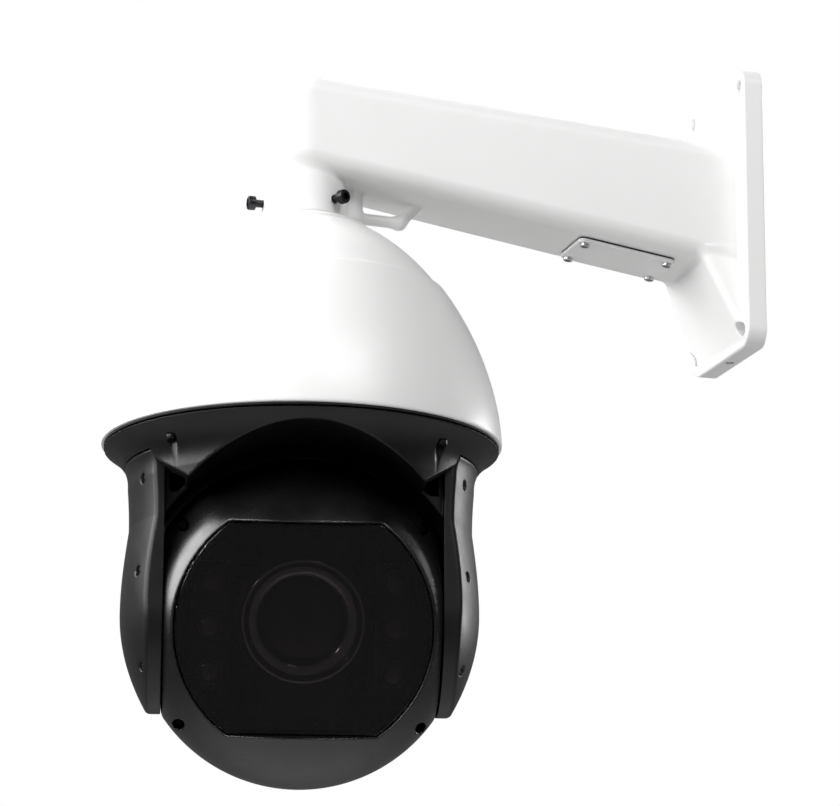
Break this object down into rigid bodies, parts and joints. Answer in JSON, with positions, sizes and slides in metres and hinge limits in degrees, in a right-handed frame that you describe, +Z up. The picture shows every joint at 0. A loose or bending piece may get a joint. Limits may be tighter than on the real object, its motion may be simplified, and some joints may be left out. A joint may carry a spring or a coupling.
{
  "type": "ptz camera",
  "caption": "Wall-bracketed dome camera whose black head turns endlessly under a white housing and holds a tilting ball with a flat smoked window and zoom lens.",
  "frame": {"origin": "centre of the wall plate's back face, where the plate meets the wall, which is also the centre of the four bolt holes", "axes": "+Y into the wall, +Z up, the arm runs along -Y and the pan axis is vertical"},
  "size_m": [0.256, 0.429, 0.4885],
  "materials": {
    "white_paint": "painted satin",
    "white_housing": "painted satin",
    "black_housing": "painted satin",
    "black_cover": "satin",
    "black_ball": "satin gloss",
    "rubber": "matte",
    "screw_steel": "satin",
    "dark_screw": "blackened",
    "bearing_steel": "polished",
    "alloy": "machined",
    "board": "solder mask",
    "motor": "matte",
    "gear": "machined",
    "slip_ring": "matte",
    "window": "smoked, polished",
    "camera_black": "matte",
    "lens_metal": "anodised",
    "lens_glass": "coated",
    "filter_glass": "coated",
    "led": "clear dome"
  },
  "bodies": {
    "bracket": {"wall_plate": "white_paint", "bracket_arm": "white_paint", "bracket_tube": "white_paint", "safety_loop": "white_paint", "arm_cover": "white_paint", "arm_cover_gasket": "rubber", "arm_cover_screws": "screw_steel", "locking_screws": "screw_steel", "neck_pipe": "alloy", "neck_o_ring": "rubber", "top_cap": "white_housing", "top_cap_seal": "rubber", "top_cap_screws": "screw_steel", "dome_shell": "white_housing", "rim_gasket": "rubber", "chassis_plate": "alloy", "chassis_screws": "screw_steel", "board_standoffs": "gear", "main_board": "board", "power_board": "board", "pan_motor": "motor", "pan_bearing_outer": "bearing_steel", "slip_ring_stator": "slip_ring", "slip_ring_bridge": "alloy"},
    "pan_drive": {"pan_pinion": "gear"},
    "yoke": {"turntable": "alloy", "pan_gear": "gear", "pan_bearing_inner": "bearing_steel", "pan_bearing_balls": "bearing_steel", "pan_circlip": "screw_steel", "slip_ring_rotor": "slip_ring", "yoke": "black_housing", "yoke_screws": "dark_screw", "left_arm_cover": "black_cover", "right_arm_cover": "black_cover", "arm_cover_bolts": "dark_screw", "tilt_bearings": "bearing_steel", "tilt_motor": "motor", "tilt_motor_bracket": "alloy"},
    "tilt_drive": {"tilt_pinion": "gear"},
    "ball": {"ball_front": "black_ball", "ball_rear": "black_ball", "ball_seal": "rubber", "ball_screws": "dark_screw", "window_glass": "window", "window_gasket": "rubber", "tilt_hubs": "alloy", "tilt_gear": "gear", "camera_chassis": "camera_black", "sensor_board": "board", "camera_bezel": "camera_black", "lens_barrel": "camera_black", "lens_ring": "lens_metal", "front_lens": "lens_glass", "led_boards": "camera_black", "led_lenses": "led", "led_heat_sinks": "alloy"},
    "zoom_cell": {"zoom_group": "camera_black"},
    "focus_cell": {"focus_group": "camera_black"},
    "filter_slide": {"ir_cut_filter": "filter_glass"}
  },
  "joints": [
    {"name": "pan", "type": "hinge", "parent": "bracket", "child": "yoke", "pos_m": [0, -0.301, -0.18], "axis": [0, 0, 1], "continuous": true},
    {"name": "pan_pinion_spin", "type": "hinge", "parent": "bracket", "child": "pan_drive", "pos_m": [0.048, -0.301, -0.175], "axis": [0, 0, 1], "continuous": true},
    {"name": "tilt", "type": "hinge", "parent": "yoke", "child": "ball", "pos_m": [0, -0.301, -0.2885], "axis": [0.2079, 0.9781, 0], "range_deg": [-28, 77]},
    {"name": "tilt_pinion_spin", "type": "hinge", "parent": "yoke", "child": "tilt_drive", "pos_m": [0.01986, -0.20759, -0.2535], "axis": [0.2079, 0.9781, 0], "range_deg": [-308, 112]},
    {"name": "zoom", "type": "slide", "parent": "ball", "child": "zoom_cell", "axis": [0.9531, -0.2026, -0.225], "range_m": [-0.022, 0.005]},
    {"name": "focus", "type": "slide", "parent": "ball", "child": "focus_cell", "axis": [0.9531, -0.2026, -0.225], "range_m": [-0.006, 0.004]},
    {"name": "ir_filter", "type": "slide", "parent": "ball", "child": "filter_slide", "axis": [0.2079, 0.9781, 0], "range_m": [0, 0.01]}
  ],
  "couplings": [
    {"joint": "pan_pinion_spin", "follows": "pan", "ratio": -5},
    {"joint": "tilt_pinion_spin", "follows": "tilt", "ratio": -4}
  ]
}
